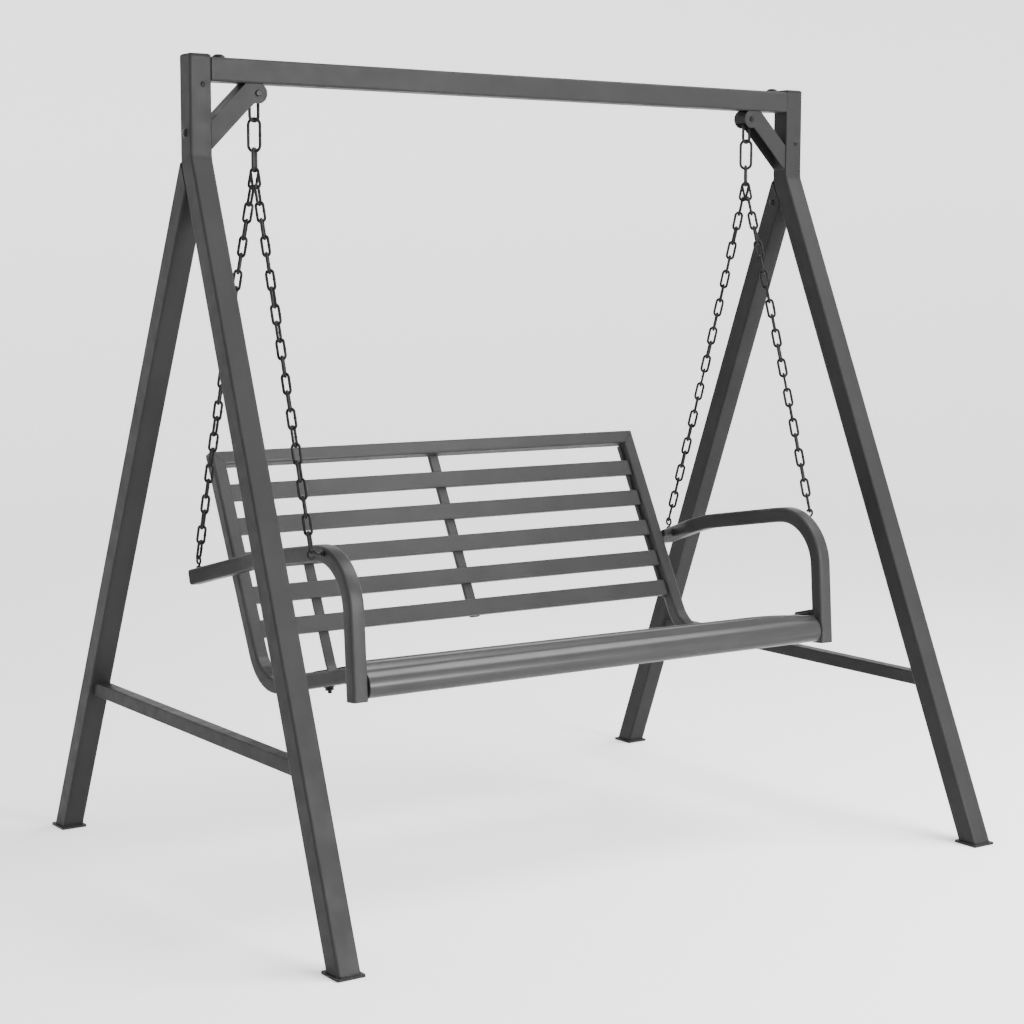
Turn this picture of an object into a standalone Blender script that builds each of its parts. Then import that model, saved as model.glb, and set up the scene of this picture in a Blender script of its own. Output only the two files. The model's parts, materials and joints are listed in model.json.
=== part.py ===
"""Garden porch swing: a slatted steel bench hung on two chains from an A-frame stand.

Metres. +X runs to the right as a person facing the bench sees it, +Y runs to the back and +Z up.
The floor is z = 0. Everything hangs below one empty, which sits where the two posts' plane
meets the floor, so local y = 0 is the plane of the posts and of the top beam.
"""

import math

import bmesh
import bpy
from mathutils import Matrix, Vector

GAP = 0.0003              # clearance between pieces that touch
POST_PLANE_Y = -0.0070    # the posts stand a little in front of the middle of the four feet

# stand
TUBE = 0.0475             # square tube of posts, legs and beam
TUBE_WALL = 0.002
TUBE_CORNER = 0.004
POST_X = 0.7765           # post axis, each side
SPLAY = 0.035             # outward lean of each leg, post to foot
KINK_Z = 1.490            # where the front leg bends out of the post
KINK_R = 0.060
POST_TOP = 1.692
CAP_TOP = 1.698
BEAM_TOP = 1.6925
FOOT_T = 0.005
FRONT_FOOT_Y = -0.627
REAR_FOOT_Y = 0.641
REAR_CROSS_Z = 1.495      # height at which the rear leg's axis would cross the post plane
REAR_TOP_Z = 1.4760       # axis height of the rear leg's upper end
LOW_RAIL = 0.030
LOW_RAIL_Z = 0.349
FOOT_LIP = 0.006          # how far a foot plate stands out beyond the tube

# hanger bracket, links and chains
PIN_X = 0.648
PIN_Z = 1.626
PIN_R = 0.004
NOSE_R = 0.021
BRACKET_DEPTH = 0.040
BRACKET_LOW = 2.2635      # x + z along the bracket's lower edge
CHEEK_Y = 0.020           # half the width of the bracket channel
SHEET = 0.003
WIRE = 0.0025             # radius of link wire
SWING_Z = PIN_Z + PIN_R + GAP + WIRE
TOP_LINK_LOW = 1.5715     # lowest point of the top link's centre line
LONG_LINK_HIGH = TOP_LINK_LOW + 2 * WIRE + GAP
PITCH_Z = 1.5110          # lowest point of the long link's centre line
TOP_LINK_TURN = math.radians(8)
LONG_LINK_TURN = math.radians(-47)
SPLIT_Z = 1.4750          # where a chain divides into its front and rear legs
CHAIN_HALF = 0.0075       # half the centre-line width of a chain link

# bench
RAIL = 0.032
RAIL_WALL = 0.0018
RAIL_CORNER = 0.005
RAIL_X = 0.567            # side rail at the top corner
RAIL_LOW_X = 0.574        # side rail from the bend forward
BACK_TOP = Vector((0.0, 0.350, 0.875))    # top front corner of the back
BACK_LEAN = math.radians(27.0)
SEAT_RISE = math.radians(13.5)
SEAT_Y0 = -0.0596                          # a point on the underside of the seat rail
SEAT_Z0 = 0.4069
SEAT_BEND_R = 0.100
RAIL_FRONT_Y = -0.316
SLAT_H = 0.039
SLAT_T = 0.012
SLAT_RECESS = 0.008
SLAT_STEPS = (0.077, 0.157, 0.237, 0.317, 0.395)
SEAT_SLAT_W = 0.060
SEAT_SLAT_RISE = 0.004    # seat slats stand this far above the rails' upper faces
SEAT_SLAT_Y = (0.005, -0.096, -0.197)
BAR_W = 0.025
CENTRE_BAR_T = 0.010
STAY_T = 0.005
STAY_X = -0.395
STAY_LOW_X = -0.403
ARM = 0.034
ARM_X = 0.6105
EYE_R = 0.0085            # centre-line radius of an eye bolt's ring

BACK_DOWN = Vector((0, -math.sin(BACK_LEAN), -math.cos(BACK_LEAN)))
BACK_REAR = Vector((0, math.cos(BACK_LEAN), -math.sin(BACK_LEAN)))
SEAT_FWD = Vector((0, -math.cos(SEAT_RISE), math.sin(SEAT_RISE)))
SEAT_UP = Vector((0, math.sin(SEAT_RISE), math.cos(SEAT_RISE)))

for old in list(bpy.data.objects):
    bpy.data.objects.remove(old, do_unlink=True)

root = bpy.data.objects.new("porch_swing", None)
root.location = (0.0, POST_PLANE_Y, 0.0)
bpy.context.scene.collection.objects.link(root)


def paint(name, grey, rough, metal):
    material = bpy.data.materials.new(name)
    material.use_nodes = True
    shader = material.node_tree.nodes["Principled BSDF"]
    shader.inputs["Base Color"].default_value = (grey, grey, grey * 1.01, 1.0)
    shader.inputs["Roughness"].default_value = rough
    shader.inputs["Metallic"].default_value = metal
    return material


FRAME_PAINT = paint("frame_paint", 0.150, 0.45, 0.0)
BENCH_PAINT = paint("bench_paint", 0.160, 0.42, 0.0)
CHAIN_COAT = paint("chain_coat", 0.120, 0.38, 0.3)
BOLT_COAT = paint("bolt_coat", 0.100, 0.40, 0.4)
CAP_PLASTIC = paint("cap_plastic", 0.120, 0.55, 0.0)


def publish(name, mesh_data, material, smooth=False, origin=None):
    """Turn a bmesh into a named object whose origin is at the given local point."""
    bmesh.ops.recalc_face_normals(mesh_data, faces=mesh_data.faces)
    origin = origin or sum((v.co for v in mesh_data.verts), Vector()) / len(mesh_data.verts)
    bmesh.ops.translate(mesh_data, verts=mesh_data.verts, vec=-origin)
    mesh = bpy.data.meshes.new(name)
    mesh_data.to_mesh(mesh)
    mesh_data.free()
    mesh.materials.append(material)
    for face in mesh.polygons:
        face.use_smooth = smooth
    obj = bpy.data.objects.new(name, mesh)
    obj.location = origin
    obj.parent = root
    bpy.context.scene.collection.objects.link(obj)
    return obj


def rounded_rect(width, height, radius, steps=2):
    """Outline of a rounded rectangle centred on the origin, anticlockwise."""
    points = []
    for cx, cy, start in ((1, 1, 0), (-1, 1, 90), (-1, -1, 180), (1, -1, 270)):
        for k in range(steps + 1):
            a = math.radians(start + 90.0 * k / steps)
            points.append((cx * (width / 2 - radius) + radius * math.cos(a),
                           cy * (height / 2 - radius) + radius * math.sin(a)))
    return points


def circle(radius, count=8):
    return [(radius * math.cos(2 * math.pi * k / count), radius * math.sin(2 * math.pi * k / count))
            for k in range(count)]


def fillet(points, radii, step=math.radians(12)):
    """Round the inner corners of a polyline; radii has one value per inner corner."""
    out = [points[0]]
    for i in range(1, len(points) - 1):
        a = (points[i] - points[i - 1]).normalized()
        b = (points[i + 1] - points[i]).normalized()
        turn = a.angle(b)
        radius = radii[i - 1]
        if radius <= 0 or turn < 1e-4:
            out.append(points[i])
            continue
        back = radius * math.tan(turn / 2)
        start = points[i] - a * back
        centre = start + (b - a * a.dot(b)).normalized() * radius
        axis = a.cross(b).normalized()
        count = max(2, round(turn / step))
        for k in range(count + 1):
            out.append(centre + Matrix.Rotation(turn * k / count, 3, axis) @ (start - centre))
    out.append(points[-1])
    return out


def rings_along(path, section_at, up, start_normal=None, end_normal=None, closed=False):
    """Place a section at every path point, mitred so the bar keeps its width round bends."""
    count = len(path)
    last = count if closed else count - 1
    legs = [(path[(i + 1) % count] - path[i]).normalized() for i in range(last)]
    side = legs[0].cross(up).normalized()
    top = side.cross(legs[0]).normalized()
    rings = []
    for i in range(count):
        come = legs[i - 1] if (i > 0 or closed) else legs[0]
        go = legs[i] if i < last else legs[-1]
        if i == 0 and not closed:
            cut = start_normal or legs[0]
        elif i == count - 1 and not closed:
            cut = end_normal or legs[-1]
        else:
            cut = (come + go).normalized()
        along = go if i == 0 else come
        ring = []
        for u, v in section_at(i):
            p = path[i] + side * u + top * v
            p = p - along * ((p - path[i]).dot(cut) / along.dot(cut))
            ring.append(p)
        rings.append(ring)
        if 0 < i < last:
            bend = come.rotation_difference(go)
            side = bend @ side
            top = bend @ top
    return rings


def skin(bm, rings, closed=False):
    loops = [[bm.verts.new(p) for p in ring] for ring in rings]
    count = len(loops[0])
    spans = len(loops) if closed else len(loops) - 1
    for i in range(spans):
        near = loops[i]
        far = loops[(i + 1) % len(loops)]
        for k in range(count):
            bm.faces.new((near[k], near[(k + 1) % count], far[(k + 1) % count], far[k]))
    return loops


def bar(name, path, section, up, material, hollow=None, start_normal=None, end_normal=None, smooth=False,
        origin=None):
    """A bar or, with a hollow section of the same point count, an open-ended tube."""
    bm = bmesh.new()
    outer = skin(bm, rings_along(path, lambda i: section, up, start_normal, end_normal))
    if hollow is None:
        bm.faces.new(outer[0])
        bm.faces.new(outer[-1])
    else:
        inner = skin(bm, rings_along(path, lambda i: hollow, up, start_normal, end_normal))
        count = len(section)
        for end in (0, -1):
            for k in range(count):
                n = (k + 1) % count
                bm.faces.new((outer[end][k], outer[end][n], inner[end][n], inner[end][k]))
    return publish(name, bm, material, smooth, origin)


def tube(name, path, width, height, wall, corner, up, material, **more):
    outer = rounded_rect(width, height, corner)
    inner = rounded_rect(width - 2 * wall, height - 2 * wall, max(corner - wall, 0.0012))
    return bar(name, path, outer, up, material, hollow=inner, **more)


def prism(name, outline, place, low, high, material, smooth=False):
    """Extrude a flat outline; place(a, b, c) gives the point at outline (a, b) and depth c."""
    bm = bmesh.new()
    loops = skin(bm, [[place(a, b, c) for a, b in outline] for c in (low, high)])
    bm.faces.new(loops[0])
    bm.faces.new(loops[1])
    return publish(name, bm, material, smooth)


def lathe(name, profile, base, axis, material, count=16):
    """Turn a profile of (radius, height) pairs about an axis; it starts and ends on the axis."""
    axis = Vector(axis).normalized()
    helper = Vector((0, 0, 1)) if abs(axis.z) < 0.9 else Vector((1, 0, 0))
    side = axis.cross(helper).normalized()
    top = axis.cross(side)
    bm = bmesh.new()
    rings = []
    for radius, height in profile:
        centre = Vector(base) + axis * height
        if radius == 0:
            rings.append([bm.verts.new(centre)])
            continue
        rings.append([bm.verts.new(centre + side * (radius * math.cos(2 * math.pi * k / count))
                                   + top * (radius * math.sin(2 * math.pi * k / count)))
                      for k in range(count)])
    for near, far in zip(rings, rings[1:]):
        for k in range(count):
            n = (k + 1) % count
            corners = [near[k % len(near)], near[n % len(near)], far[n % len(far)], far[k % len(far)]]
            unique = [c for j, c in enumerate(corners) if c not in corners[:j]]
            bm.faces.new(unique)
    return publish(name, bm, material, smooth=True)


def link_path(centre, half_width, low, high, plan_angle, steps=8):
    """Centre line of a chain link: two straight sides joined by half circles, in an upright plane."""
    across = Vector((math.cos(plan_angle), math.sin(plan_angle), 0))
    points = []
    for sign, mid in ((1, high - half_width), (-1, low + half_width)):
        for k in range(steps + 1):
            a = math.pi * k / steps
            offset = across * (sign * half_width * math.cos(a))
            points.append(Vector((centre[0], centre[1], mid + sign * half_width * math.sin(a))) + offset)
    return points


def ring_link(name, path, normal, radius, material, origin):
    bm = bmesh.new()
    section = circle(radius, 8)
    skin(bm, rings_along(path, lambda i: section, normal, closed=True), closed=True)
    return publish(name, bm, material, smooth=True, origin=origin)


def cut_away(target, solid, centre):
    """Cut a solid, given about its own centre, out of a piece."""
    name = "cutter_%02d_%s" % (len(target.modifiers), target.name)
    mesh = bpy.data.meshes.new(name)
    solid.to_mesh(mesh)
    solid.free()
    cutter = bpy.data.objects.new(name, mesh)
    cutter.location = centre
    cutter.parent = root
    cutter.hide_render = True
    cutter.display_type = "WIRE"
    bpy.context.scene.collection.objects.link(cutter)
    cut = target.modifiers.new("cut", "BOOLEAN")
    cut.operation = "DIFFERENCE"
    cut.solver = "EXACT"
    cut.object = cutter


def drill(target, point, axis, radius, reach):
    """Cut a round hole through a piece, centred on a local point."""
    turn = Vector((0, 0, 1)).rotation_difference(Vector(axis).normalized()).to_matrix().to_4x4()
    bm = bmesh.new()
    bmesh.ops.create_cone(bm, cap_ends=True, segments=16, radius1=radius, radius2=radius, depth=reach)
    bmesh.ops.transform(bm, matrix=turn, verts=bm.verts)
    cut_away(target, bm, point)


def box_cut(target, centre, size, turn):
    """Cut a turned box away from a piece."""
    bm = bmesh.new()
    bmesh.ops.create_cube(bm, size=1.0, matrix=turn.to_4x4() @ Matrix.Diagonal((*size, 1.0)))
    cut_away(target, bm, centre)


X = Vector((1, 0, 0))
Y = Vector((0, 1, 0))
Z = Vector((0, 0, 1))


def dome(head_r, head_h, shank_r, shank_l):
    """Profile of a domed bolt: crown up at positive height, shank running down from zero."""
    return [(0, head_h), (head_r * 0.55, head_h * 0.88), (head_r * 0.9, head_h * 0.5), (head_r, 0.0003),
            (shank_r, 0.0003), (shank_r, -shank_l), (0, -shank_l)]


def leg_x(z):
    return POST_X + SPLAY * (KINK_Z - z) / (KINK_Z - FOOT_T)


def build_stand(side, word):
    half = TUBE / 2
    foot_z = FOOT_T + GAP
    top = Vector((side * POST_X, 0, POST_TOP))
    kink = Vector((side * POST_X, 0, KINK_Z))
    front_foot = Vector((side * (POST_X + SPLAY), FRONT_FOOT_Y, foot_z))
    post = tube("front_leg_" + word, fillet([top, kink, front_foot], [KINK_R], math.radians(6)), TUBE, TUBE,
                TUBE_WALL, TUBE_CORNER, Y, FRAME_PAINT, end_normal=Z)

    # rear leg: sleeved over a short stub that is welded to the back of the post
    rear_foot = Vector((side * (POST_X + SPLAY), REAR_FOOT_Y, foot_z))
    cross = Vector((side * POST_X, 0, REAR_CROSS_Z))
    rear_dir = (rear_foot - cross).normalized()
    rear_top = cross + rear_dir * ((REAR_CROSS_Z - REAR_TOP_Z) / -rear_dir.z)
    rear = tube("rear_leg_" + word, [rear_top, rear_foot], TUBE, TUBE, TUBE_WALL, TUBE_CORNER, Y,
                FRAME_PAINT, end_normal=Z)
    stub_size = TUBE - 2 * TUBE_WALL - 2 * GAP
    stub = tube("rear_leg_stub_" + word, [cross, cross + rear_dir * 0.150], stub_size,
                stub_size, TUBE_WALL, 0.002, Y, FRAME_PAINT)

    # both are trimmed along the rear faces of the post and of the front leg
    front_dir = (front_foot - kink).normalized()
    face_up = Vector((0, -front_dir.z, front_dir.y)).normalized()
    leg_turn = Matrix((X, Vector((0, front_dir.y, front_dir.z)).normalized(), face_up)).transposed()
    reach = half + GAP
    for piece in (rear, stub):
        box_cut(piece, kink + Y * (reach - 0.050) + Z * 0.09, (0.12, 0.100, 0.204), Matrix.Identity(3))
        box_cut(piece, kink + front_dir * 0.20 + face_up * (reach - 0.05), (0.12, 0.40, 0.10), leg_turn)

    # foot plates
    for name, foot, lean in (("front", front_foot, FRONT_FOOT_Y), ("rear", rear_foot, REAR_FOOT_Y)):
        run = abs(lean) / (KINK_Z - FOOT_T)
        depth = TUBE * math.hypot(1, run) + 2 * FOOT_LIP
        outline = rounded_rect(TUBE + 2 * FOOT_LIP, depth, 0.003)
        prism("foot_plate_%s_%s" % (name, word), outline,
              lambda a, b, c, f=foot: Vector((f.x + a, f.y + b, c)), 0.0, FOOT_T, FRAME_PAINT)

    # low rail between the two legs of one side
    rail_x = side * leg_x(LOW_RAIL_Z)
    front_y = (LOW_RAIL_Z - KINK_Z) * (FRONT_FOOT_Y / (foot_z - KINK_Z))
    rear_y = (LOW_RAIL_Z - REAR_CROSS_Z) * (REAR_FOOT_Y / (foot_z - REAR_CROSS_Z))
    front_n = Vector((0, front_dir.z, -front_dir.y)).normalized()
    rear_n = Vector((0, rear_dir.z, -rear_dir.y)).normalized()
    step_f = (half + GAP) / abs(front_n.y)
    step_r = (half + GAP) / abs(rear_n.y)
    tube("low_rail_" + word,
         [Vector((rail_x, front_y + step_f, LOW_RAIL_Z)), Vector((rail_x, rear_y - step_r, LOW_RAIL_Z))],
         LOW_RAIL, LOW_RAIL, 0.0015, 0.003, Z, FRAME_PAINT, start_normal=front_n, end_normal=rear_n)

    # cap on the post
    rim = rounded_rect(TUBE, TUBE, TUBE_CORNER)
    crown = rounded_rect(TUBE - 0.008, TUBE - 0.008, 0.002)
    skirt = rounded_rect(TUBE - 2 * TUBE_WALL - 2 * GAP, TUBE - 2 * TUBE_WALL - 2 * GAP, 0.002)
    base = POST_TOP + GAP
    bm = bmesh.new()
    loops = skin(bm, [[Vector((side * POST_X + a, b, z)) for a, b in shape] for shape, z in
                      ((skirt, base - 0.012), (skirt, base), (rim, base), (rim, base + 0.0025), (crown, CAP_TOP))])
    bm.faces.new(loops[0])
    bm.faces.new(loops[-1])
    publish("post_cap_" + word, bm, CAP_PLASTIC)

    # bolt through the post that holds the hanger bracket's lower end, and a screw in its front
    bolt_at = Vector((side * (POST_X + half), 0, 1.543))
    lathe("post_bolt_" + word, dome(0.009, 0.005, 0.004, TUBE + 0.008), bolt_at, X * side, BOLT_COAT)
    drill(post, bolt_at, X, 0.0043, 0.12)
    screw_z = 1.638 if side < 0 else 1.572
    screw_at = Vector((side * POST_X + 0.005, -half, screw_z))
    lathe("post_screw_" + word,
          [(0, 0.0010), (0.002, 0.0010), (0.0022, 0.0022), (0.0045, 0.0016), (0.0055, 0.0003),
           (0.0025, 0.0003), (0.0025, -0.010), (0, -0.010)], screw_at, -Y, BOLT_COAT, 12)
    drill(post, screw_at, Y, 0.0028, 0.012)

    # dome bolt that pins the rear leg to its stub, from the inner side
    pin_at = rear_top + rear_dir * 0.045
    pin_at.x = side * (abs(pin_at.x) - half)
    lathe("leg_bolt_" + word, dome(0.0085, 0.005, 0.0035, 0.008), pin_at, -X * side, BOLT_COAT)
    drill(rear, pin_at, X, 0.0038, 0.024)
    drill(stub, pin_at, X, 0.0038, 0.024)
    return post


def build_beam():
    half = TUBE / 2
    inner = POST_X - half - GAP
    z = BEAM_TOP - half
    beam = tube("top_beam", [Vector((-inner, 0, z)), Vector((inner, 0, z))], TUBE, TUBE, TUBE_WALL,
                TUBE_CORNER, Z, FRAME_PAINT)
    size = TUBE - 2 * TUBE_WALL - 2 * GAP
    for side, word in ((-1, "left"), (1, "right")):
        stub = tube("beam_stub_" + word,
                    [Vector((side * inner, 0, z)), Vector((side * (inner - 0.080), 0, z))], size, size,
                    TUBE_WALL, 0.002, Z, FRAME_PAINT)
        at = Vector((side * (inner - 0.027), 0, BEAM_TOP))
        lathe("beam_bolt_" + word, dome(0.0140, 0.0080, 0.004, 0.010), at, Z, BOLT_COAT)
        drill(beam, at, Z, 0.0043, 0.024)
        drill(stub, at, Z, 0.0043, 0.024)


def build_hanger(side, word):
    """Sloping channel with a rounded nose; its web is on top, its open side faces down."""
    wall_x = POST_X - TUBE / 2 - GAP
    beam_low = BEAM_TOP - TUBE - GAP
    low = BRACKET_LOW
    high = low + BRACKET_DEPTH * math.sqrt(2)
    outline = [(wall_x, low - wall_x), (0.672, low - 0.672)]
    for k in range(9):
        a = math.radians(-70 - 25 * k)
        p = (PIN_X + NOSE_R * math.cos(a), PIN_Z + NOSE_R * math.sin(a))
        if p[1] < beam_low - 0.0005:
            outline.append(p)
    outline.append((PIN_X - math.sqrt(NOSE_R ** 2 - (beam_low - PIN_Z) ** 2), beam_low))
    outline.append((high - beam_low, beam_low))
    outline.append((wall_x, high - wall_x))

    cavity = [(wall_x - SHEET, low - wall_x - 0.030), (PIN_X - NOSE_R + SHEET, PIN_Z - 0.060)]
    for k in range(6):
        a = math.radians(180 - 12 * k)
        p = (PIN_X + (NOSE_R - SHEET) * math.cos(a), PIN_Z + (NOSE_R - SHEET) * math.sin(a))
        if p[1] < beam_low - SHEET - 0.0005:
            cavity.append(p)
    root2 = SHEET * math.sqrt(2)
    cavity.append((PIN_X - math.sqrt((NOSE_R - SHEET) ** 2 - (beam_low - SHEET - PIN_Z) ** 2), beam_low - SHEET))
    cavity.append((high - root2 - (beam_low - SHEET), beam_low - SHEET))
    cavity.append((wall_x - SHEET, high - root2 - (wall_x - SHEET)))

    place = lambda a, b, c: Vector((side * a, c, b))
    bracket = prism("hanger_bracket_" + word, outline, place, -CHEEK_Y, CHEEK_Y, FRAME_PAINT)
    cutter = prism("channel_cutter_" + word, cavity, place, -CHEEK_Y + SHEET, CHEEK_Y - SHEET, FRAME_PAINT)
    cutter.hide_render = True
    cutter.display_type = "WIRE"
    cut = bracket.modifiers.new("channel", "BOOLEAN")
    cut.operation = "DIFFERENCE"
    cut.solver = "EXACT"
    cut.object = cutter
    drill(bracket, Vector((side * PIN_X, 0, PIN_Z)), Y, PIN_R + GAP, 0.060)
    drill(bracket, Vector((side * wall_x, 0, 1.543)), X, 0.0043, 0.012)

    head = 0.0065
    reach = CHEEK_Y + GAP
    lathe("hanger_pin_" + word,
          [(0, -reach - 0.003), (head * 0.8, -reach - 0.003), (head, -reach - 0.0015), (head, -reach),
           (PIN_R, -reach), (PIN_R, reach), (head, reach), (head, reach + 0.0015),
           (head * 0.8, reach + 0.003), (0, reach + 0.003)],
          Vector((side * PIN_X, 0, PIN_Z)), Y, BOLT_COAT)


def build_links(side, word):
    pivot = Vector((side * PIN_X, 0, SWING_Z))
    for name, half, low, high, turn in (
            ("top_link_", 0.0115, TOP_LINK_LOW, SWING_Z, TOP_LINK_TURN),
            ("long_link_", 0.0125, PITCH_Z, LONG_LINK_HIGH, LONG_LINK_TURN)):
        path = link_path((side * PIN_X, 0), half, low, high, turn)
        normal = Vector((-math.sin(turn), math.cos(turn), 0))
        ring_link(name + word, path, normal, WIRE, CHAIN_COAT, pivot)


def rail_corner(back_offset, seat_offset):
    """Where a line parallel to the back meets a line parallel to the seat.

    back_offset is measured rearward from the back's front plane and seat_offset upward from the
    underside of the seat rail.
    """
    a = BACK_TOP + BACK_REAR * back_offset
    b = Vector((0, SEAT_Y0, SEAT_Z0)) + SEAT_UP * seat_offset
    across = SEAT_UP.dot(BACK_DOWN)
    return a + BACK_DOWN * ((b - a).dot(SEAT_UP) / across)


def seat_point(y, offset):
    """A point above the seat rail's underside, at a given y."""
    base = Vector((0, SEAT_Y0, SEAT_Z0)) + SEAT_UP * offset
    return base + SEAT_FWD * ((y - base.y) / SEAT_FWD.y)


def back_point(down, offset):
    return BACK_TOP + BACK_DOWN * down + BACK_REAR * offset


def at_x(points, x):
    return [Vector((x, p.y, p.z)) for p in points]


def build_bench_frame():
    mid = RAIL / 2
    top = back_point(mid, mid)
    corner = rail_corner(mid, mid)
    front = seat_point(RAIL_FRONT_Y, mid)
    for side, word in ((-1, "left"), (1, "right")):
        mitre = Vector((side, 0, 0)) + BACK_DOWN
        points = at_x([top + BACK_DOWN * GAP], side * RAIL_X) + at_x([corner, front], side * RAIL_LOW_X)
        path = fillet(points, [SEAT_BEND_R], math.radians(9))
        tube("side_rail_" + word, path, RAIL, RAIL, RAIL_WALL, RAIL_CORNER, X, BENCH_PAINT,
             start_normal=mitre.normalized())
    ends = []
    for side in (-1, 1):
        ends.append(Vector((side * (RAIL_X - GAP), top.y, top.z)))
    tube("top_rail", ends, RAIL, RAIL, RAIL_WALL, RAIL_CORNER, BACK_REAR, BENCH_PAINT,
         start_normal=(BACK_DOWN - X).normalized(), end_normal=(BACK_DOWN + X).normalized())

    # the side rails spread a little toward the seat, and so do the ends of the slats
    spread = (RAIL_LOW_X - RAIL_X) / (corner - top).length
    end_right = (X - BACK_DOWN * spread).normalized()
    end_left = (X + BACK_DOWN * spread).normalized()
    for number, down in enumerate(SLAT_STEPS, 1):
        centre = back_point(down + SLAT_H / 2, SLAT_RECESS + SLAT_T / 2)
        slat_x = RAIL_X + spread * (down + SLAT_H / 2 - mid) - (RAIL / 2 + GAP) * math.hypot(1, spread)
        tube("back_slat_%d" % number, at_x([centre], -slat_x) + at_x([centre], slat_x), SLAT_H, SLAT_T,
             0.0012, 0.002, BACK_REAR, BENCH_PAINT, start_normal=end_left, end_normal=end_right)

    behind = SLAT_RECESS + SLAT_T + GAP
    tube("centre_bar", [back_point(RAIL + GAP, behind + CENTRE_BAR_T / 2),
                        back_point(SLAT_STEPS[-1] + SLAT_H, behind + CENTRE_BAR_T / 2)],
         BAR_W, CENTRE_BAR_T, 0.0012, 0.002, BACK_REAR, BENCH_PAINT)

    # flat stay behind the lower three slats; it bends forward below the seat slats
    line = behind + STAY_T / 2
    under = RAIL + SEAT_SLAT_RISE - SLAT_T - GAP - STAY_T / 2
    points = at_x([back_point(SLAT_STEPS[2], line)], STAY_X)
    points += at_x([rail_corner(line, under), seat_point(-0.025, under)], STAY_LOW_X)
    bar("left_stay", fillet(points, [0.045], math.radians(11)), rounded_rect(BAR_W, STAY_T, 0.0015),
        BACK_REAR, BENCH_PAINT)

    # seat slats sit between the rails
    seat_x = RAIL_LOW_X - RAIL / 2 - GAP
    for number, y in enumerate(SEAT_SLAT_Y, 1):
        centre = seat_point(y, RAIL + SEAT_SLAT_RISE - SLAT_T / 2)
        tube("seat_slat_%d" % number, at_x([centre], -seat_x) + at_x([centre], seat_x),
             SEAT_SLAT_W, SLAT_T, 0.0012, 0.002, SEAT_UP, BENCH_PAINT)


# front roll, as (forward, up) from the point where its sheet leaves the rail's upper face
ROLL_OUTLINE = ((0.000, 0.0050), (0.050, 0.0055), (0.061, 0.0048), (0.068, 0.0015), (0.0720, -0.0050),
                (0.0750, -0.0115), (0.0795, -0.0165), (0.0855, -0.0225), (0.0905, -0.0310),
                (0.0935, -0.0400), (0.0925, -0.0500), (0.0880, -0.0585), (0.0800, -0.0645),
                (0.0690, -0.0665), (0.0580, -0.0640))
ROLL_REAR_Y = -0.263
ROLL_SHEET = 0.0025
ROLL_X = 0.5903


def roll_loop():
    """The rolled sheet's outer line, and the same line one sheet inside."""
    outer = [Vector((f, u)) for f, u in ROLL_OUTLINE]
    inner = []
    for i, p in enumerate(outer):
        a = outer[max(i - 1, 0)]
        b = outer[min(i + 1, len(outer) - 1)]
        t = (b - a).normalized()
        inner.append(p + Vector((t.y, -t.x)) * ROLL_SHEET)
    return outer, inner


def build_front_roll():
    base = seat_point(ROLL_REAR_Y, RAIL + GAP)
    slope = math.tan(SEAT_RISE)
    outer, inner = roll_loop()

    def spot(f, u, x):
        # the top follows the seat's slope, the nose hangs plumb
        share = min(max((f - 0.05) / 0.03, 0.0), 1.0)
        rise = slope * (f * (1 - share) + 0.065 * share)
        return Vector((x, base.y - f * math.cos(SEAT_RISE), base.z + u + min(rise, 0.065 * slope)))

    outline = [(p.x, p.y) for p in outer] + [(p.x, p.y) for p in reversed(inner)]
    prism("front_roll", outline, spot, -ROLL_X, ROLL_X, BENCH_PAINT)
    cap = [(p.x, p.y) for p in outer] + [(0.050, -0.055), (0.048, -0.020), (0.040, -0.0035), (0.000, 0.0003)]
    for side, word in ((-1, "left"), (1, "right")):
        prism("roll_end_" + word, cap, spot, side * (ROLL_X + GAP),
              side * (ARM_X - ARM / 2 - GAP), BENCH_PAINT)


ARM_PROFILE = ((0.288, 0.6080), (0.070, 0.6695), (-0.177, 0.7095), (-0.316, 0.7262), (-0.337, 0.433))
ARM_FLARE_Y = 0.130
ARM_BENDS = (0.120, 0.300, 0.600, 0.112)   # bend radii from the flare to the front corner
ARM_END_X = 0.655


def build_arm(side, word):
    pts = [Vector((side * ARM_X, y, z)) for y, z in ARM_PROFILE]
    pts[0].x = side * ARM_END_X
    share = (ARM_FLARE_Y - ARM_PROFILE[1][0]) / (ARM_PROFILE[0][0] - ARM_PROFILE[1][0])
    flare_z = ARM_PROFILE[1][1] + share * (ARM_PROFILE[0][1] - ARM_PROFILE[1][1])
    pts.insert(1, Vector((side * ARM_X, ARM_FLARE_Y, flare_z)))
    path = fillet(pts, ARM_BENDS, math.radians(9))
    path.reverse()
    arm = tube("armrest_" + word, path, ARM, ARM, RAIL_WALL, RAIL_CORNER, Y, BENCH_PAINT)

    # spacer between the back rail and the flared part of the armrest
    flare = (pts[0] - pts[1]).normalized()
    where = pts[1] + flare * 0.100
    before = (pts[1] - pts[2]).normalized()
    inner_n = before.rotation_difference(flare) @ Vector((-side, 0, 0))
    face = where + inner_n * (ARM / 2 + GAP)
    run = face.x * side - (RAIL_LOW_X + RAIL / 2 + GAP)
    bar("arm_spacer_" + word, [face, face - X * (side * run)], circle(0.009, 16), Z, BENCH_PAINT,
        start_normal=inner_n, smooth=True)
    return arm


EYE_FRONT = Vector((0.655, -0.236, 0.7165))
EYE_REAR = Vector((0.658, 0.279, 0.6460))


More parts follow.
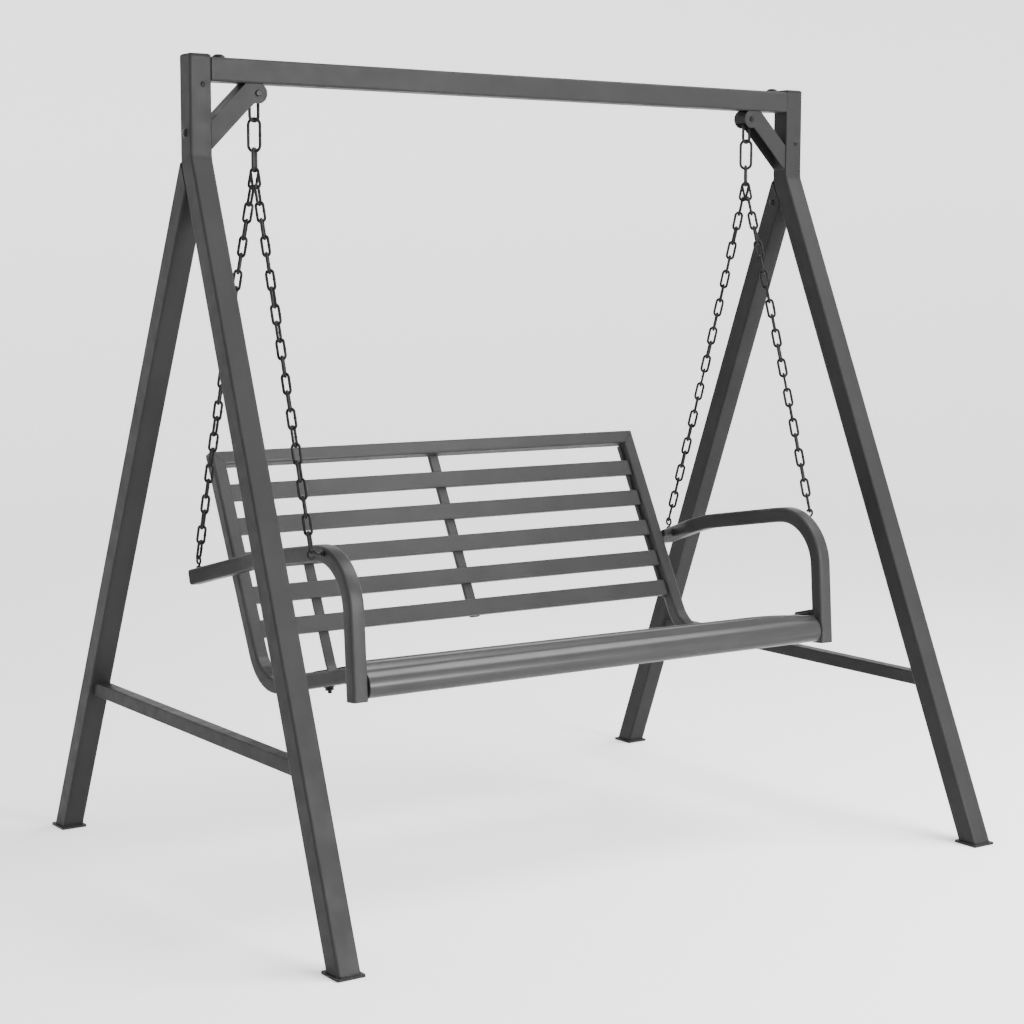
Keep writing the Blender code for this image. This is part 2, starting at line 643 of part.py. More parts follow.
def eye_bolt(name, centre, shank_dir, ring_normal, length):
    """Rod bent into a ring that stays open by a hair beside its shank."""
    shank_dir = shank_dir.normalized()
    across = ring_normal.cross(shank_dir).normalized()
    bm = bmesh.new()
    steps = 13
    path = []
    for k in range(steps + 1):
        a = math.radians(24 + 312 * k / steps)
        path.append(centre + across * (EYE_R * math.sin(a)) + shank_dir * (EYE_R * math.cos(a)))
    neck = centre + shank_dir * (EYE_R + WIRE + 0.003)
    path.append(neck)
    path.append(neck + shank_dir * length)
    section = circle(WIRE, 8)
    loops = skin(bm, rings_along(path, lambda i: section, ring_normal))
    bm.faces.new(loops[0])
    bm.faces.new(loops[-1])
    return publish(name, bm, BOLT_COAT, smooth=True)


def chain(word, side, front_end, rear_end):
    """One chain per side: a shared link over the long link, then a front and a rear leg.

    The legs are drawn as one rod of chain-like section, flattened across and along in turn.
    """
    turn = LONG_LINK_TURN + math.pi / 2
    across = Vector((math.cos(turn), math.sin(turn), 0)) * CHAIN_HALF
    arch_z = PITCH_Z + 2 * WIRE + GAP - CHAIN_HALF
    axis = Vector((side * PIN_X, 0, arch_z))
    arch = [axis + across * -math.cos(math.pi * k / 8) + Z * (CHAIN_HALF * math.sin(math.pi * k / 8))
            for k in range(9)]
    drop = Z * (arch_z - SPLIT_Z)
    pitch = 0.018

    def leg(start, end):
        count = int((end - start).length / pitch) // 2 * 2
        return [start.lerp(end, k / count) for k in range(count + 1)]

    front = leg(arch[0] - drop, front_end)
    rear = leg(arch[-1] - drop, rear_end)
    path = list(reversed(front)) + arch + rear
    first = len(front) - 1
    last = first + len(arch) + 1
    slim = 0.0026
    wide = 0.0085

    def shape(i):
        a = b = WIRE
        if i < first or i > last:
            step = first - i if i < first else i - last
            a, b = ((0.0035, 0.0035), (wide, slim), (0.0035, 0.0035), (slim, wide))[step % 4]
        if i in (0, len(path) - 1):
            a = b = WIRE
        return [(a * math.cos(math.pi * k / 4), b * math.sin(math.pi * k / 4)) for k in range(8)]

    bm = bmesh.new()
    loops = skin(bm, rings_along(path, shape, X))
    bm.faces.new(loops[0])
    bm.faces.new(loops[-1])
    return publish("chain_" + word, bm, CHAIN_COAT, origin=Vector((side * PIN_X, 0, PITCH_Z)))


build_beam()
build_bench_frame()
build_front_roll()
for hand, label in ((-1, "left"), (1, "right")):
    build_stand(hand, label)
    build_hanger(hand, label)
    build_links(hand, label)
    armrest = build_arm(hand, label)
    front_eye = Vector((hand * EYE_FRONT.x, EYE_FRONT.y, EYE_FRONT.z))
    rear_eye = Vector((hand * EYE_REAR.x, EYE_REAR.y, EYE_REAR.z))
    eye_bolt("eye_bolt_front_" + label, front_eye, X * -hand, Y, 0.032)
    eye_bolt("eye_bolt_rear_" + label, rear_eye, -Z, X, 0.024)
    drill(armrest, front_eye - X * (hand * 0.030), X, WIRE + GAP, 0.024)
    drill(armrest, rear_eye - Z * 0.018, Z, WIRE + GAP, 0.024)
    ring_top = EYE_R + WIRE + 0.0016
    chain(label, hand, front_eye + Z * ring_top, rear_eye + Z * ring_top)
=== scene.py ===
"""Looks of the garden porch swing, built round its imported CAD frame. Metres, +Z up."""
import json
import math

import bmesh
import bpy
from mathutils import Matrix, Vector, noise


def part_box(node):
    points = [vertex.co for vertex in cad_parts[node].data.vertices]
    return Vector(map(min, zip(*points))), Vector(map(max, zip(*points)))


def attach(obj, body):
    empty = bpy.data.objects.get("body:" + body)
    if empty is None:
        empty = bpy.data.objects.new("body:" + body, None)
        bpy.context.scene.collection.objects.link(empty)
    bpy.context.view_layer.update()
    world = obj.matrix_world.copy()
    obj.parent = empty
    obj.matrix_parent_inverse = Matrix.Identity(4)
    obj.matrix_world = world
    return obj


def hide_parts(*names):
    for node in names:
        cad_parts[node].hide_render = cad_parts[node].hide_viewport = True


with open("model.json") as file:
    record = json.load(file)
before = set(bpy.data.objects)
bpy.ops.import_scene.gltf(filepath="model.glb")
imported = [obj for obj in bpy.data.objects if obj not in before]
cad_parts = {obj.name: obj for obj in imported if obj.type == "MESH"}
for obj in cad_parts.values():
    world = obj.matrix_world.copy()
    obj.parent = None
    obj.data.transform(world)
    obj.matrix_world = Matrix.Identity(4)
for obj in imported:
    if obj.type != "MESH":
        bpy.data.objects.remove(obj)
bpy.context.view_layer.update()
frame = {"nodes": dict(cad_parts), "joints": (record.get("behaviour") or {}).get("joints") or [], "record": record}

JOINTS = {j["name"]: j["pos_m"] for j in frame["joints"]}
PLANE_Y = JOINTS["swing"][1]          # the plane of the posts
PITCH_Z = JOINTS["bench_pitch"][2]
X, Y, Z = Vector((1, 0, 0)), Vector((0, 1, 0)), Vector((0, 0, 1))
SIDES = ((-1, "left"), (1, "right"))


# ---------------------------------------------------------------- materials
SPECULAR = 0.07             # level of the plain reflection of every coat
COAT_ROUGHNESS = 0.25
SOFT_EDGE = 0.0012          # radius to which edges look eased
PEEL_DEPTH = 0.0006         # height of the orange peel


def powder(name, grey, rough, peel=0.10, dust=0.003, metal=0.0, coat=0.0):
    """Satin powder coat: fine orange peel, cloudy tone, a little dust on upper faces, soft edges."""
    mat = bpy.data.materials.new(name)
    mat.use_nodes = True
    nodes, links = mat.node_tree.nodes, mat.node_tree.links
    shader = nodes["Principled BSDF"]
    shader.inputs["Metallic"].default_value = metal
    shader.inputs["Specular IOR Level"].default_value = SPECULAR
    shader.inputs["Coat Weight"].default_value = coat
    shader.inputs["Coat Roughness"].default_value = COAT_ROUGHNESS
    place = nodes.new("ShaderNodeTexCoord")

    def cloud(scale, detail):
        tex = nodes.new("ShaderNodeTexNoise")
        tex.inputs["Scale"].default_value = scale
        tex.inputs["Detail"].default_value = detail
        links.new(place.outputs["Object"], tex.inputs["Vector"])
        return tex.outputs["Fac"]

    def spread(value, low, high, source=(0.35, 0.65)):
        ramp = nodes.new("ShaderNodeMapRange")
        ramp.inputs["From Min"].default_value = source[0]
        ramp.inputs["From Max"].default_value = source[1]
        ramp.inputs["To Min"].default_value = low
        ramp.inputs["To Max"].default_value = high
        links.new(value, ramp.inputs["Value"])
        return ramp.outputs["Result"]

    def maths(kind, a, b):
        node = nodes.new("ShaderNodeMath")
        node.operation = kind
        for socket, value in zip(node.inputs, (a, b)):
            if isinstance(value, float):
                socket.default_value = value
            else:
                links.new(value, socket)
        return node.outputs[0]

    mottle = spread(cloud(7.0, 4.0), grey * 0.90, grey * 1.10)
    speck = spread(cloud(900.0, 2.0), 0.93, 1.07)
    geometry = nodes.new("ShaderNodeNewGeometry")
    split = nodes.new("ShaderNodeSeparateXYZ")
    links.new(geometry.outputs["Normal"], split.inputs[0])
    upward = spread(split.outputs["Z"], 0.0, dust, (0.3, 1.0))
    dusty = maths("MULTIPLY", upward, spread(cloud(22.0, 5.0), 0.3, 1.0))
    worn = spread(geometry.outputs["Pointiness"], 0.0, 0.003, (0.52, 0.62))
    tone = maths("ADD", maths("MULTIPLY", mottle, speck), maths("ADD", dusty, worn))
    mix = nodes.new("ShaderNodeCombineColor")
    for socket in mix.inputs:
        links.new(tone, socket)
    links.new(mix.outputs[0], shader.inputs["Base Color"])
    links.new(spread(cloud(30.0, 3.0), rough - 0.05, rough + 0.06), shader.inputs["Roughness"])
    soft = nodes.new("ShaderNodeBevel")
    soft.samples = 4
    soft.inputs["Radius"].default_value = SOFT_EDGE
    bump = nodes.new("ShaderNodeBump")
    bump.inputs["Strength"].default_value = peel
    bump.inputs["Distance"].default_value = PEEL_DEPTH
    links.new(cloud(650.0, 2.0), bump.inputs["Height"])
    links.new(soft.outputs[0], bump.inputs["Normal"])
    links.new(bump.outputs[0], shader.inputs["Normal"])
    return mat


FRAME = powder("frame_powder_coat", 0.0150, 0.46)
BENCH = powder("bench_powder_coat", 0.0220, 0.40, coat=0.05)
EDGE = powder("rolled_edge_powder_coat", 0.0185, 0.38, coat=0.30)
CHAIN = powder("chain_black_coat", 0.010, 0.38, peel=0.06, metal=0.15)
BOLT = powder("bolt_dark_zinc", 0.010, 0.36, peel=0.04, metal=0.30)
CAP = powder("cap_moulded_plastic", 0.010, 0.55, peel=0.20)
WELD = powder("weld_bead_coat", 0.013, 0.40, peel=0.25)
# near-black, darker than the moulded plastic caps: painted shade of the hollow inside of each armrest's rear end
PAINTED_SHADE_PLUG = powder("plug_painted_shade", 0.004, 0.60, peel=0.20)
BY_SLOT = {"frame_paint": FRAME, "bench_paint": BENCH, "chain_coat": CHAIN,
           "bolt_coat": BOLT, "cap_plastic": CAP}


def shade(mesh, degrees=32.0):
    """Smooth shading, with a hard edge wherever two faces meet at more than the given angle."""
    bm = bmesh.new()
    bm.from_mesh(mesh)
    for face in bm.faces:
        face.smooth = True
    for edge in bm.edges:
        edge.smooth = len(edge.link_faces) == 2 and edge.calc_face_angle(0.0) < math.radians(degrees)
    bm.to_mesh(mesh)
    bm.free()


for part in frame["record"]["subparts"]:
    node = frame["nodes"][part["node"]]
    node.data.materials.clear()
    node.data.materials.append(BY_SLOT[part["material_slot"]])
    shade(node.data)


# ---------------------------------------------------------------- mesh helpers
def rounded(width, height, radius, steps=5):
    """Outline of a rectangle with rounded corners, about the origin."""
    points = []
    for cx, cy, start in ((1, 1, 0), (-1, 1, 90), (-1, -1, 180), (1, -1, 270)):
        for k in range(steps + 1):
            a = math.radians(start + 90.0 * k / steps)
            points.append((cx * (width / 2 - radius) + radius * math.cos(a),
                           cy * (height / 2 - radius) + radius * math.sin(a)))
    return points


def circle(radius, count=12):
    return [(radius * math.cos(math.tau * k / count), radius * math.sin(math.tau * k / count))
            for k in range(count)]


def fillet(points, radii, step=math.radians(5)):
    """Round each inner corner of a line of points to its own radius."""
    out = [points[0]]
    for i in range(1, len(points) - 1):
        a = (points[i] - points[i - 1]).normalized()
        b = (points[i + 1] - points[i]).normalized()
        turn = a.angle(b)
        start = points[i] - a * (radii[i - 1] * math.tan(turn / 2))
        centre = start + (b - a * a.dot(b)).normalized() * radii[i - 1]
        count = max(3, round(turn / step))
        for k in range(count + 1):
            out.append(centre + Matrix.Rotation(turn * k / count, 3, a.cross(b)) @ (start - centre))
    out.append(points[-1])
    return out


def sweep(bm, path, section, up, closed=False, caps=True):
    """Run a section along a path, mitred at each point; returns the rings of vertices."""
    count = len(path)
    last = count if closed else count - 1
    legs = [(path[(i + 1) % count] - path[i]).normalized() for i in range(last)]
    side = legs[0].cross(up).normalized()
    top = side.cross(legs[0]).normalized()
    rings = []
    for i in range(count):
        come = legs[i - 1] if (i > 0 or closed) else legs[0]
        go = legs[i] if i < last else legs[-1]
        cut = (come + go).normalized()
        along = go if i == 0 else come
        ring = []
        for u, v in section(i) if callable(section) else section:
            p = path[i] + side * u + top * v
            ring.append(bm.verts.new(p - along * ((p - path[i]).dot(cut) / along.dot(cut))))
        rings.append(ring)
        if 0 < i < last:
            bend = come.rotation_difference(go)
            side = bend @ side
            top = bend @ top
    size = len(rings[0])
    for i in range(count if closed else count - 1):
        near, far = rings[i], rings[(i + 1) % count]
        for k in range(size):
            n = (k + 1) % size
            bm.faces.new((near[k], near[n], far[n], far[k]))
    if caps and not closed:
        bm.faces.new(rings[0])
        bm.faces.new(rings[-1])
    return rings


def hollow(bm, path, width, wall, corner, up):
    """Open-ended square tube."""
    bore = width - 2 * wall
    outer = sweep(bm, path, rounded(width, width, corner), up, caps=False)
    inner = sweep(bm, path, rounded(bore, bore, corner - wall), up, caps=False)
    size = len(outer[0])
    for end in (0, -1):
        for k in range(size):
            n = (k + 1) % size
            bm.faces.new((outer[end][k], outer[end][n], inner[end][n], inner[end][k]))


def piece(name, bm, material, body, stands_for=(), degrees=32.0):
    """Turn the mesh into a named piece that rides a body and stands for some CAD nodes."""
    bmesh.ops.recalc_face_normals(bm, faces=bm.faces)
    mesh = bpy.data.meshes.new(name)
    bm.to_mesh(mesh)
    bm.free()
    mesh.materials.append(material)
    shade(mesh, degrees)
    obj = bpy.data.objects.new(name, mesh)
    bpy.context.scene.collection.objects.link(obj)
    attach(obj, body)
    if stands_for:
        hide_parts(*stands_for)
    return obj


def lathe(bm, profile, base, axis, count=28):
    """Turn a profile of (radius, height) about an axis; a radius of zero closes it."""
    axis = Vector(axis).normalized()
    side = axis.cross(Z if abs(axis.z) < 0.9 else X).normalized()
    top = axis.cross(side)
    rings = []
    for radius, height in profile:
        centre = Vector(base) + axis * height
        steps = 1 if radius == 0 else count
        rings.append([bm.verts.new(centre + side * (radius * math.cos(math.tau * k / count))
                                   + top * (radius * math.sin(math.tau * k / count)))
                      for k in range(steps)])
    for near, far in zip(rings, rings[1:]):
        for k in range(count):
            n = (k + 1) % count
            loop = [near[k % len(near)], near[n % len(near)], far[n % len(far)], far[k % len(far)]]
            bm.faces.new([c for j, c in enumerate(loop) if c not in loop[:j]])


def clamp(value):
    return min(max(value, 0.0), 1.0)


# ---------------------------------------------------------------- links and chains
WIRE = 0.0025               # wire radius of the CAD links and of the eye bolts
CHAIN_WIRE = 0.0030
LONG_WIRE = 0.0032
LINK_PITCH = 0.0357
LINK_HALF_WIDTH = 0.0078
TOP_HALF_WIDTH = 0.0106
LONG_HALF_WIDTH = 0.0125
FIRST_LINK = 0.0395         # the two first links hang plumb, side by side
FORK_GAP = 0.0027
EYE_R = 0.0085
WASHER = ((0.0027, 0.0002), (0.0068, 0.0002), (0.0068, 0.0014), (0.0027, 0.0014), (0.0027, 0.0002))
EYE_NUT = ((0.0027, 0.0016), (0.0050, 0.0016), (0.0056, 0.0022), (0.0056, 0.0052),
           (0.0050, 0.0058), (0.0027, 0.0058), (0.0027, 0.0016))
EYE_GAP = 24                # half of the gap in the turned eye, in degrees
EYE_STEPS = 26
ARM_FACE_X = 0.6280         # outer side of the armrest, where the front eye bolt enters
REAR_SHANK = 0.0185         # from the rear eye down to the armrest


def link(bm, centre, along, flat_normal, half_length, half_width, wire, steps=9):
    """One welded oval link; along is its long direction and flat_normal stands off its plane."""
    along = along.normalized()
    normal = (flat_normal - along * flat_normal.dot(along)).normalized()
    across = normal.cross(along)
    path = []
    for sign in (1, -1):
        for k in range(steps + 1):
            a = math.pi * k / steps
            path.append(centre + along * (sign * (half_length - half_width + half_width * math.sin(a)))
                        + across * (sign * half_width * math.cos(a)))
    sweep(bm, path, circle(wire, 10), normal, closed=True)
    # the small burr of the closing weld, half way down one side
    weld = centre + across * half_width
    lathe(bm, [(0, -0.0026), (wire * 0.8, -0.0022), (wire * 1.18, -0.0008), (wire * 1.18, 0.0008),
               (wire * 0.8, 0.0022), (0, 0.0026)], weld, along, 10)


def heading(degrees):
    """Level direction, turned from +Y toward -X."""
    a = math.radians(degrees)
    return Vector((-math.sin(a), math.cos(a), 0))


FACING, EDGEWISE = heading(-47), heading(43)
for side, word in SIDES:
    low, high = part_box("top_link_" + word)
    bm = bmesh.new()
    half = (high.z - low.z) / 2 - WIRE
    link(bm, (low + high) / 2, Z, heading(8), half, TOP_HALF_WIDTH, LONG_WIRE, 12)
    piece("top_oval_link_" + word, bm, CHAIN, "hanger_links", ["top_link_" + word])
    low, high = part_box("long_link_" + word)
    bm = bmesh.new()
    half = (high.z - low.z) / 2 - WIRE
    link(bm, (low + high) / 2, Z, FACING, half, LONG_HALF_WIDTH, LONG_WIRE, 12)
    piece("long_oval_link_" + word, bm, CHAIN, "hanger_links", ["long_link_" + word])

    # two chains from the long link down to the front and rear eyes
    centre_x = (low.x + high.x) / 2
    hang_z = PITCH_Z + LONG_WIRE
    bm = bmesh.new()
    for end, lean, sag in (("front", -1, -0.002), ("rear", 1, -0.001)):
        low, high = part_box("eye_bolt_%s_%s" % (end, word))
        ring_x = (high.x if side > 0 else low.x) - side * (EYE_R + WIRE)
        ring_y = (low.y + high.y) / 2
        ring_z = high.z - EYE_R - WIRE
        hook = Vector((centre_x, PLANE_Y, hang_z)) + FACING * (FORK_GAP * lean)
        start = hook - Z * FIRST_LINK
        half = FIRST_LINK / 2 + CHAIN_WIRE
        link(bm, hook - Z * (FIRST_LINK / 2), Z, EDGEWISE, half, LINK_HALF_WIDTH, CHAIN_WIRE)
        stop = Vector((ring_x, ring_y, ring_z + EYE_R - WIRE))
        chord = stop - start
        droop = Vector((0, -lean, -0.3)).normalized()
        bow = Vector((side * (0.005 if lean > 0 else 0.001), 0, 0))
        count = round(chord.length / LINK_PITCH)

        def spot(t, start=start, chord=chord, droop=droop, sag=sag, bow=bow):
            return start + chord * t + (droop * sag + bow) * (4 * t * (1 - t))

        for k in range(count):
            a, b = spot(k / count), spot((k + 1) / count)
            flat = FACING if k % 2 == 0 else EDGEWISE
            sway = math.radians(9 * math.sin(k * 2.3 + side))
            wobble = Matrix.Rotation(sway, 3, (b - a).normalized())
            half = (b - a).length / 2 + CHAIN_WIRE
            link(bm, (a + b) / 2, a - b, wobble @ flat, half, LINK_HALF_WIDTH, CHAIN_WIRE)
    piece("welded_chain_" + word, bm, CHAIN, "bench", ["chain_" + word])

    # eye bolts: a rod turned into an eye, with a nut and washer against the armrest
    for end, shank in (("front", X * -side), ("rear", -Z)):
        node = "eye_bolt_%s_%s" % (end, word)
        low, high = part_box(node)
        ring_x = (high.x if side > 0 else low.x) - side * (EYE_R + WIRE)
        centre = Vector((ring_x, (low.y + high.y) / 2, high.z - EYE_R - WIRE))
        normal = Y if end == "front" else X
        across = normal.cross(shank).normalized()
        path = []
        for k in range(EYE_STEPS + 1):
            a = math.radians(EYE_GAP + (360 - 2 * EYE_GAP) * k / EYE_STEPS)
            path.append(centre + across * (EYE_R * math.sin(a)) + shank * (EYE_R * math.cos(a)))
        neck = centre + shank * (EYE_R + WIRE + 0.003)
        path += [neck, neck + shank * (0.031 if end == "front" else 0.023)]
        bm = bmesh.new()
        sweep(bm, path, circle(WIRE, 12), normal)
        piece("eye_rod_%s_%s" % (end, word), bm, BOLT, "bench", [node])
        bm = bmesh.new()
        if end == "front":
            face = Vector((side * ARM_FACE_X, centre.y, centre.z))
        else:
            face = centre + shank * REAR_SHANK
        lathe(bm, WASHER, face, -shank, 24)
        lathe(bm, EYE_NUT, face, -shank, 6)
        piece("eye_nut_%s_%s" % (end, word), bm, BOLT, "bench", (), 20.0)


# ---------------------------------------------------------------- bench: rails, arms, roll
def at(x, y, z):
    """A point whose y is measured from the plane of the posts."""
    return Vector((x, y + PLANE_Y, z))


ARM_LINE = ((0.288, 0.6080), (0.070, 0.6695), (-0.177, 0.7095), (-0.316, 0.7262), (-0.337, 0.433))
ARM_FLARE_Y = 0.130         # behind this the armrest runs outward
ARM_END_X = 0.655
ARM_BENDS = (0.120, 0.300, 0.600, 0.112)
ARM_SIZE = 0.034
ARM_WALL = 0.0018
ARM_CORNER = 0.006
PLUG_SIZE = 0.0298
for side, word in SIDES:
    low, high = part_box("armrest_" + word)
    inner_x = min(abs(low.x), abs(high.x)) + ARM_SIZE / 2
    line = [at(side * inner_x, y, z) for y, z in ARM_LINE]
    line[0].x = side * ARM_END_X
    share = (ARM_FLARE_Y - ARM_LINE[1][0]) / (ARM_LINE[0][0] - ARM_LINE[1][0])
    flare_z = ARM_LINE[1][1] + share * (ARM_LINE[0][1] - ARM_LINE[1][1])
    line.insert(1, at(side * inner_x, ARM_FLARE_Y, flare_z))
    path = fillet(line, ARM_BENDS)
    path.reverse()
    bm = bmesh.new()
    hollow(bm, path, ARM_SIZE, ARM_WALL, ARM_CORNER, Y)
    piece("bent_armrest_" + word, bm, BENCH, "bench", ["armrest_" + word])
    # plug in the arm's rear end; its near-black colour is painted shade of the inside of the hollow tube
    tail = (path[-1] - path[-2]).normalized()
    bm = bmesh.new()
    span = [path[-1] - tail * 0.012, path[-1] - tail * 0.0025]
    sweep(bm, span, rounded(PLUG_SIZE, PLUG_SIZE, 0.004), X)
    piece("arm_plug_" + word, bm, PAINTED_SHADE_PLUG, "bench", ())


ROLL = ((0.000, 0.0050), (0.050, 0.0055), (0.061, 0.0048), (0.068, 0.0015), (0.0720, -0.0050),
        (0.0750, -0.0115), (0.0795, -0.0165), (0.0855, -0.0225), (0.0905, -0.0310),
        (0.0935, -0.0400), (0.0925, -0.0500), (0.0880, -0.0585), (0.0800, -0.0645),
        (0.0690, -0.0665), (0.0580, -0.0640))
ROLL_SHEET = 0.0022
ROLL_DROP = 0.014           # how far the top sinks toward the right-hand end
DROP_FROM, DROP_RUN = 0.40, 0.17
ROLL_CROWN = 0.005          # how far the top rises toward the left-hand end
CROWN_FROM, CROWN_RUN = 0.35, 0.90
ROLL_STATIONS = 40
ROLL_LEVEL = 0.065          # the sheet climbs with the seat up to here, then runs level
SEAT_TILT = math.radians(13.5)
SLOPE = math.tan(SEAT_TILT)
ROLL_BASE = Vector((0, -0.263, 0.4870))


def smooth_line(points, parts=3):
    """Catmull-Rom through the points."""
    points = [Vector(p) for p in points]
    out = []
    for i in range(len(points) - 1):
        a, b = points[max(i - 1, 0)], points[i]
        c, d = points[i + 1], points[min(i + 2, len(points) - 1)]
        for k in range(parts):
            t = k / parts
            out.append(0.5 * (2 * b + (c - a) * t + (2 * a - 5 * b + 4 * c - d) * t * t
                              + (3 * b - a - 3 * c + d) * t ** 3))
    return out + [points[-1]]


def top_share(u):
    """0 on the lower part of the roll, 1 on its top."""
    return clamp((u + 0.016) / 0.028)


def roll_spot(f, u, x):
    """The point of the roll f forward of its back edge, u above its base line, at x."""
    share = clamp((f - 0.05) / 0.03)
    rise = min(SLOPE * (f * (1 - share) + ROLL_LEVEL * share), ROLL_LEVEL * SLOPE)
    return at(x, ROLL_BASE.y - f * 0.9724, ROLL_BASE.z + u + rise)


line = smooth_line(ROLL)
thick = []
for i, p in enumerate(line):
    t = (line[min(i + 1, len(line) - 1)] - line[max(i - 1, 0)]).normalized()
    thick.append(p + Vector((t.y, -t.x)) * ROLL_SHEET)
loop = line + list(reversed(thick))
low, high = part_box("front_roll")
bm = bmesh.new()
rings = []
for station in range(ROLL_STATIONS + 1):
    x = low.x + (high.x - low.x) * station / ROLL_STATIONS
    crown = ROLL_CROWN * clamp((CROWN_FROM - x) / CROWN_RUN)
    lift = crown - ROLL_DROP * clamp((x - DROP_FROM) / DROP_RUN) ** 2
    rings.append([bm.verts.new(roll_spot(p.x, p.y + lift * top_share(p.y), x)) for p in loop])
for near, far in zip(rings, rings[1:]):
    for k in range(len(loop)):
        n = (k + 1) % len(loop)
        bm.faces.new((near[k], near[n], far[n], far[k]))
half = len(line)
for ring in (rings[0], rings[-1]):
    for k in range(half - 1):
        bm.faces.new((ring[k], ring[k + 1], ring[2 * half - 2 - k], ring[2 * half - 1 - k]))
piece("rolled_front_edge", bm, EDGE, "bench", ["front_roll"], degrees=40.0)


# rim round each end of the roll
for side, word in SIDES:
    low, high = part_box("roll_end_" + word)
    drop = ROLL_DROP if side > 0 else 0.0
    rim = [roll_spot(p.x, p.y - drop * top_share(p.y), (low.x + high.x) / 2) for p in line[8:]]
    bm = bmesh.new()
    sweep(bm, rim, rounded(high.x - low.x, 0.0060, 0.0018, 3), Z)
    piece("roll_rim_" + word, bm, EDGE, "bench")


# narrow strip behind the ends of the back slats, beside each side rail
LEAN = math.radians(27.0)
BACK_TOP = (0.350, 0.875)
DOWN_BACK = Vector((0, -math.sin(LEAN), -math.cos(LEAN)))
BEHIND = Vector((0, math.cos(LEAN), -math.sin(LEAN)))
STRIP_X, STRIP_SPLAY = 0.5455, 0.0156
STRIP_BEHIND = 0.0226
for side, word in SIDES:
    strip = []
    for drop in (0.036, 0.436):
        top = at(side * (STRIP_X + STRIP_SPLAY * drop), *BACK_TOP)
        strip.append(top + DOWN_BACK * drop + BEHIND * STRIP_BEHIND)
    bm = bmesh.new()
    sweep(bm, strip, rounded(0.0100, 0.0030, 0.0012, 3), BEHIND)
    piece("slat_strip_" + word, bm, BENCH, "bench")


# bolt and nut under each side rail, behind the rolled edge
NUT_Y = -0.160
RAIL_LOW_Y, RAIL_LOW_Z = -0.0596, 0.4069     # a point of the underside of the sloping seat rail
RAIL_AXIS = 0.023           # from the rail's inmost point to the middle of its seat run
RAIL_NUT = ((0, 0), (0.0115, 0), (0.0115, 0.0018), (0.0090, 0.0020), (0.0090, 0.0074),
            (0.0080, 0.0082), (0.0042, 0.0082), (0.0042, 0.0130), (0.0034, 0.0140), (0, 0.0140))
down = Vector((0, -math.sin(SEAT_TILT), -math.cos(SEAT_TILT)))
for side, word in SIDES:
    low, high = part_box("side_rail_" + word)
    rail_x = side * (min(abs(low.x), abs(high.x)) + RAIL_AXIS)
    seat = at(rail_x, NUT_Y, RAIL_LOW_Z - (NUT_Y - RAIL_LOW_Y) * SLOPE) + down * 0.0004
    bm = bmesh.new()
    lathe(bm, RAIL_NUT, seat, down, 6)
    piece("rail_nut_" + word, bm, BOLT, "bench", (), 20.0)


# ---------------------------------------------------------------- weld beads
BEAD_STEP = 0.0022          # spacing of the ripples
BEAD_R = 0.0015
RAIL_JOINT = (0.0305, 0.0338)     # the low rail's section where it meets a leg
LEG_WIDTH = 0.0460
PLATE_LIP = 0.0110          # by how much a foot plate is longer than the leg on it


def bead(name, centre, u, v, width, height):
    """A rippled bead round a rectangular joint line; u and v span the plane it lies in."""
    outline = rounded(width, height, 0.005, 4)
    points = []
    for i, (a, b) in enumerate(outline):
        c, d = outline[(i + 1) % len(outline)]
        steps = max(1, int(math.hypot(c - a, d - b) / BEAD_STEP))
        points += [centre + u * (a + (c - a) * k / steps) + v * (b + (d - b) * k / steps)
                   for k in range(steps)]
    bm = bmesh.new()
    sweep(bm, points, lambda i: circle(BEAD_R + 0.0004 * math.sin(i * 2.1)
                                       + 0.0005 * noise.noise(points[i % len(points)] * 300), 7),
          u.cross(v), closed=True)
    piece(name, bm, WELD, "stand", (), 60.0)


for side, word in SIDES:
    for end, lean in (("front", -1), ("rear", 1)):
        low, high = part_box("low_rail_" + word)
        slant = Vector((0, -lean * 0.419, 0.908)).normalized()
        y = (low.y + high.y) / 2 + lean * ((high.y - low.y) / 2 - 0.0065)
        centre = Vector(((low.x + high.x) / 2, y, (low.z + high.z) / 2))
        bead("weld_rail_%s_%s" % (end, word), centre, X, slant, *RAIL_JOINT)
        low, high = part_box("foot_plate_%s_%s" % (end, word))
        centre = Vector(((low.x + high.x) / 2, (low.y + high.y) / 2, high.z + 0.0006))
        bead("weld_foot_%s_%s" % (end, word), centre, X, Y, LEG_WIDTH, high.y - low.y - PLATE_LIP)


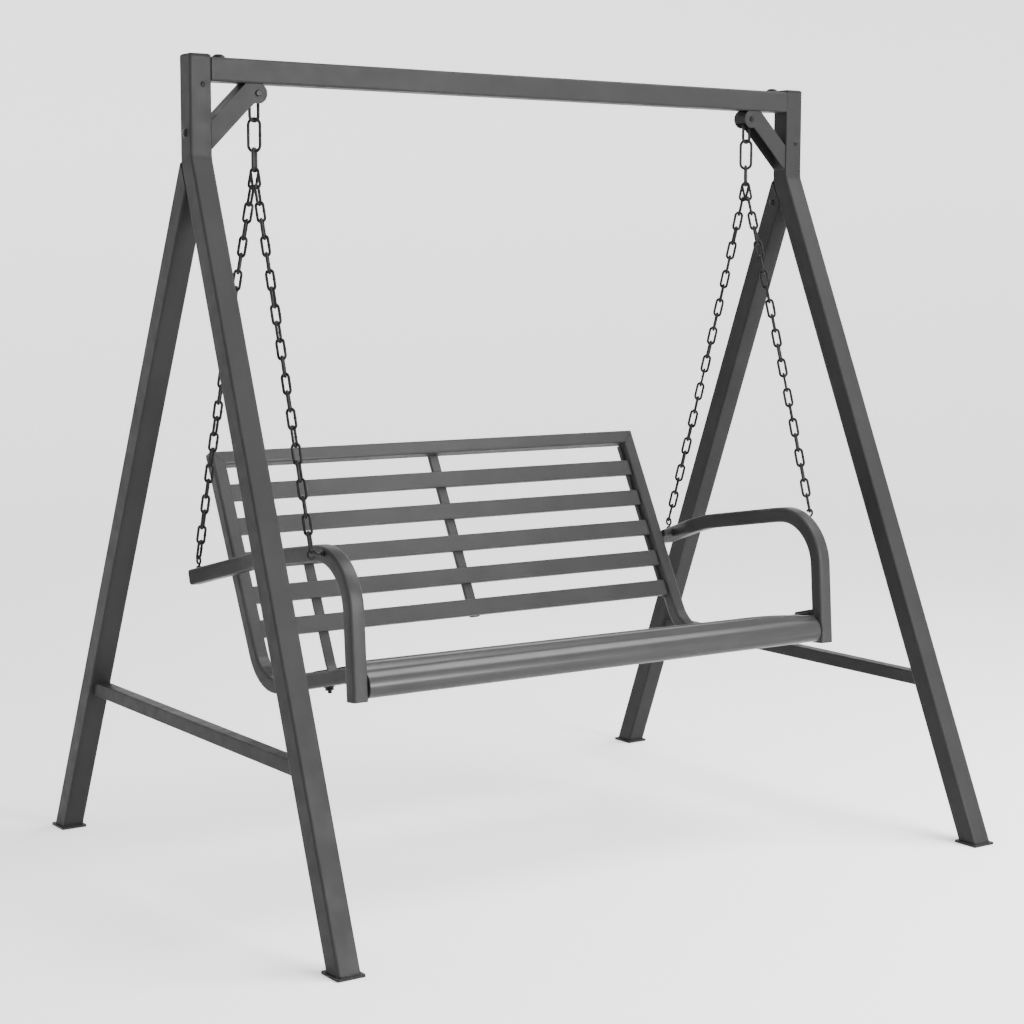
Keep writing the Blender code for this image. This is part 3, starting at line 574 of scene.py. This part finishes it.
# ---------------------------------------------------------------- floor, light, camera
# a pale floor that curves up into a round wall
FLAT_R, CURVE_R, WALL_TOP = 6.5, 2.0, 9.0
bowl = [(0, 0), (2.0, 0), (4.0, 0), (FLAT_R, 0)]
for step in range(1, 11):
    angle = math.radians(9 * step)
    bowl.append((FLAT_R + CURVE_R * math.sin(angle), CURVE_R - CURVE_R * math.cos(angle)))
bowl.append((FLAT_R + CURVE_R, WALL_TOP))
bm = bmesh.new()
lathe(bm, bowl, (0, 0, -0.0005), Z, 72)
mesh = bpy.data.meshes.new("studio_bowl")
bm.to_mesh(mesh)
bm.free()
for face in mesh.polygons:
    face.use_smooth = True
studio = bpy.data.objects.new("studio_bowl", mesh)
bpy.context.scene.collection.objects.link(studio)
pale = bpy.data.materials.new("pale_floor")
pale.use_nodes = True
paper = pale.node_tree.nodes["Principled BSDF"]
paper.inputs["Base Color"].default_value = (0.90, 0.90, 0.90, 1)
paper.inputs["Roughness"].default_value = 0.9
paper.inputs["Emission Color"].default_value = (1, 1, 1, 1)
paper.inputs["Emission Strength"].default_value = 0.50
mesh.materials.append(pale)

world = bpy.data.worlds.new("studio")
world.use_nodes = True
world.node_tree.nodes["Background"].inputs[0].default_value = (1, 1, 1, 1)
world.node_tree.nodes["Background"].inputs[1].default_value = 0.30
bpy.context.scene.world = world


def panel(name, place, aim, size, watts):
    light = bpy.data.lights.new(name, "AREA")
    light.shape = "SQUARE"
    light.size = size
    light.energy = watts
    obj = bpy.data.objects.new(name, light)
    obj.location = place
    obj.rotation_euler = (Vector(aim) - Vector(place)).to_track_quat("-Z", "Y").to_euler()
    bpy.context.scene.collection.objects.link(obj)


panel("overhead", (1.9, -1.0, 4.0), (0.0, -0.1, 0.5), 2.0, 250)
panel("front_key", (1.5, -5.3, 1.9), (0.1, 0.0, 0.8), 2.4, 640)

CAMERA_PLACE = (-2.692, -3.935 + PLANE_Y, 1.284)
CAMERA_TURN = (34.216, 6.544, 0.125)         # yaw, downward pitch and roll in degrees
camera = bpy.data.cameras.new("camera")
camera.sensor_width = 36.0
camera.lens = 75.64
camera.clip_end = 60.0
eye = bpy.data.objects.new("camera", camera)
yaw, pitch, roll = (math.radians(a) for a in CAMERA_TURN)
ahead = Vector((math.sin(yaw) * math.cos(pitch), math.cos(yaw) * math.cos(pitch), -math.sin(pitch)))
right = Vector((math.cos(yaw), -math.sin(yaw), 0))
up = right.cross(ahead)
right, up = (math.cos(roll) * right + math.sin(roll) * up,
             math.cos(roll) * up - math.sin(roll) * right)
turn = Matrix((right, up, -ahead)).transposed().to_4x4()
turn.translation = CAMERA_PLACE
eye.matrix_world = turn
bpy.context.scene.collection.objects.link(eye)
bpy.context.scene.camera = eye
